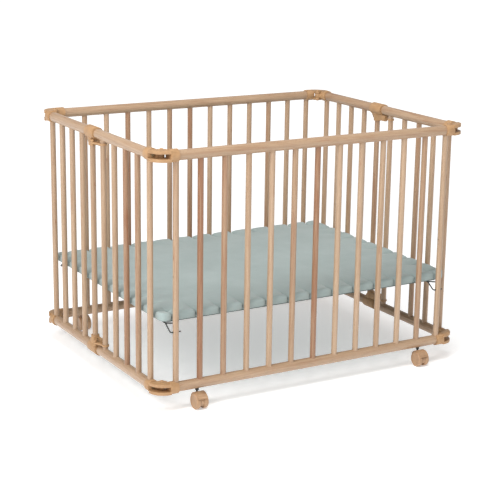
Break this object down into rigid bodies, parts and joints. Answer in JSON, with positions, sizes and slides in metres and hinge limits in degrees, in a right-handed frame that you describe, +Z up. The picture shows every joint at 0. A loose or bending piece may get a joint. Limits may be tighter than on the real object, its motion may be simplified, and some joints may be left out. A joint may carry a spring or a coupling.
{
  "type": "playpen",
  "caption": "Folding wooden playpen with upright round bars, padded floor insert hung on wire hooks, hinged short sides and swivel casters.",
  "frame": {"origin": "on the floor under the middle of the pen", "axes": "+X along the long panels to the right, +Y from the front panel to the back panel, +Z up"},
  "size_m": [1.05, 0.8502, 0.7416],
  "materials": {
    "beech_rail": "turned beech, clear lacquer, satin",
    "beech_bar": "turned beech, clear lacquer, satin",
    "tan_plastic": "moulded plastic in a beech tone, fine matt texture",
    "caster_plastic": "moulded plastic in a beech tone",
    "black_stem": "black stem and sleeve",
    "screw_steel": "yellow passivated steel",
    "hook_wire": "dark coated spring wire",
    "sage_cotton": "woven cotton cover, sage green",
    "board_back": "cloth-covered board"
  },
  "bodies": {
    "front_panel": {"front_top_rail": "beech_rail", "front_bottom_rail": "beech_rail", "front_bars": "beech_bar", "front_forks_top": "tan_plastic", "front_forks_bottom": "tan_plastic", "front_pins": "tan_plastic", "caster_front_left_stem": "black_stem", "caster_front_right_stem": "black_stem"},
    "back_panel": {"back_top_rail": "beech_rail", "back_bottom_rail": "beech_rail", "back_bars": "beech_bar", "back_forks_top": "tan_plastic", "back_forks_bottom": "tan_plastic", "back_pins": "tan_plastic", "caster_back_left_stem": "black_stem", "caster_back_right_stem": "black_stem"},
    "insert": {"insert_pad": "sage_cotton", "insert_board": "board_back", "insert_hooks": "hook_wire"},
    "left_front_half": {"left_front_top_rail": "beech_rail", "left_front_bottom_rail": "beech_rail", "left_front_bars": "beech_bar", "left_front_knuckle_top": "tan_plastic", "left_front_knuckle_bottom": "tan_plastic", "left_front_screws": "screw_steel", "left_front_hinge_top": "tan_plastic", "left_front_hinge_bottom": "tan_plastic"},
    "left_rear_half": {"left_rear_top_rail": "beech_rail", "left_rear_bottom_rail": "beech_rail", "left_rear_bars": "beech_bar", "left_rear_knuckle_top": "tan_plastic", "left_rear_knuckle_bottom": "tan_plastic", "left_rear_screws": "screw_steel", "left_rear_tee_top": "tan_plastic", "left_rear_tee_bottom": "tan_plastic"},
    "right_front_half": {"right_front_top_rail": "beech_rail", "right_front_bottom_rail": "beech_rail", "right_front_bars": "beech_bar", "right_front_knuckle_top": "tan_plastic", "right_front_knuckle_bottom": "tan_plastic", "right_front_screws": "screw_steel", "right_front_hinge_top": "tan_plastic", "right_front_hinge_bottom": "tan_plastic"},
    "right_rear_half": {"right_rear_top_rail": "beech_rail", "right_rear_bottom_rail": "beech_rail", "right_rear_bars": "beech_bar", "right_rear_knuckle_top": "tan_plastic", "right_rear_knuckle_bottom": "tan_plastic", "right_rear_screws": "screw_steel", "right_rear_tee_top": "tan_plastic", "right_rear_tee_bottom": "tan_plastic"},
    "caster_front_left_swivel": {"caster_front_left_hood": "caster_plastic"},
    "caster_front_left_wheel_pair": {"caster_front_left_wheels": "caster_plastic"},
    "caster_front_right_swivel": {"caster_front_right_hood": "caster_plastic"},
    "caster_front_right_wheel_pair": {"caster_front_right_wheels": "caster_plastic"},
    "caster_back_left_swivel": {"caster_back_left_hood": "caster_plastic"},
    "caster_back_left_wheel_pair": {"caster_back_left_wheels": "caster_plastic"},
    "caster_back_right_swivel": {"caster_back_right_hood": "caster_plastic"},
    "caster_back_right_wheel_pair": {"caster_back_right_wheels": "caster_plastic"}
  },
  "joints": [
    {"name": "side_fold", "type": "hinge", "parent": "front_panel", "child": "left_front_half", "pos_m": [-0.483, -0.3665, 0.3965], "axis": [0, 0, -1], "range_deg": [0, 84]},
    {"name": "left_middle_fold", "type": "hinge", "parent": "left_front_half", "child": "left_rear_half", "pos_m": [-0.52, 0, 0.3965], "axis": [0, 0, 1], "range_deg": [0, 168]},
    {"name": "back_left_fold", "type": "hinge", "parent": "left_rear_half", "child": "back_panel", "pos_m": [-0.483, 0.3665, 0.3965], "axis": [0, 0, -1], "range_deg": [0, 84]},
    {"name": "right_front_fold", "type": "hinge", "parent": "front_panel", "child": "right_front_half", "pos_m": [0.483, -0.3665, 0.3965], "axis": [0, 0, 1], "range_deg": [0, 84]},
    {"name": "right_middle_fold", "type": "hinge", "parent": "right_front_half", "child": "right_rear_half", "pos_m": [0.52, 0, 0.3965], "axis": [0, 0, -1], "range_deg": [0, 168]},
    {"name": "insert_lift_out", "type": "slide", "parent": "front_panel", "child": "insert", "axis": [0, 0, 1], "range_m": [0, 0.62], "deforming": ["insert_pad", "insert_board", "insert_hooks"]},
    {"name": "caster_front_left_swivel_turn", "type": "hinge", "parent": "front_panel", "child": "caster_front_left_swivel", "pos_m": [-0.383, -0.3865, 0.045], "axis": [0, 0, 1], "continuous": true},
    {"name": "caster_front_left_roll", "type": "hinge", "parent": "caster_front_left_swivel", "child": "caster_front_left_wheel_pair", "pos_m": [-0.383, -0.4015, 0.023], "axis": [1, 0, 0], "continuous": true},
    {"name": "caster_front_right_swivel_turn", "type": "hinge", "parent": "front_panel", "child": "caster_front_right_swivel", "pos_m": [0.383, -0.3865, 0.045], "axis": [0, 0, 1], "continuous": true},
    {"name": "caster_front_right_roll", "type": "hinge", "parent": "caster_front_right_swivel", "child": "caster_front_right_wheel_pair", "pos_m": [0.383, -0.4015, 0.023], "axis": [1, 0, 0], "continuous": true},
    {"name": "caster_back_left_swivel_turn", "type": "hinge", "parent": "back_panel", "child": "caster_back_left_swivel", "pos_m": [-0.383, 0.3865, 0.045], "axis": [0, 0, 1], "continuous": true},
    {"name": "caster_back_left_roll", "type": "hinge", "parent": "caster_back_left_swivel", "child": "caster_back_left_wheel_pair", "pos_m": [-0.383, 0.4015, 0.023], "axis": [1, 0, 0], "continuous": true},
    {"name": "caster_back_right_swivel_turn", "type": "hinge", "parent": "back_panel", "child": "caster_back_right_swivel", "pos_m": [0.383, 0.3865, 0.045], "axis": [0, 0, 1], "continuous": true},
    {"name": "caster_back_right_roll", "type": "hinge", "parent": "caster_back_right_swivel", "child": "caster_back_right_wheel_pair", "pos_m": [0.383, 0.4015, 0.023], "axis": [1, 0, 0], "continuous": true}
  ],
  "couplings": [
    {"joint": "left_middle_fold", "follows": "side_fold", "ratio": 2},
    {"joint": "back_left_fold", "follows": "side_fold", "ratio": 1},
    {"joint": "right_front_fold", "follows": "side_fold", "ratio": 1},
    {"joint": "right_middle_fold", "follows": "side_fold", "ratio": 2},
    {"joint": "insert_lift_out", "follows": "side_fold", "m_per_rad": 0.42289}
  ]
}
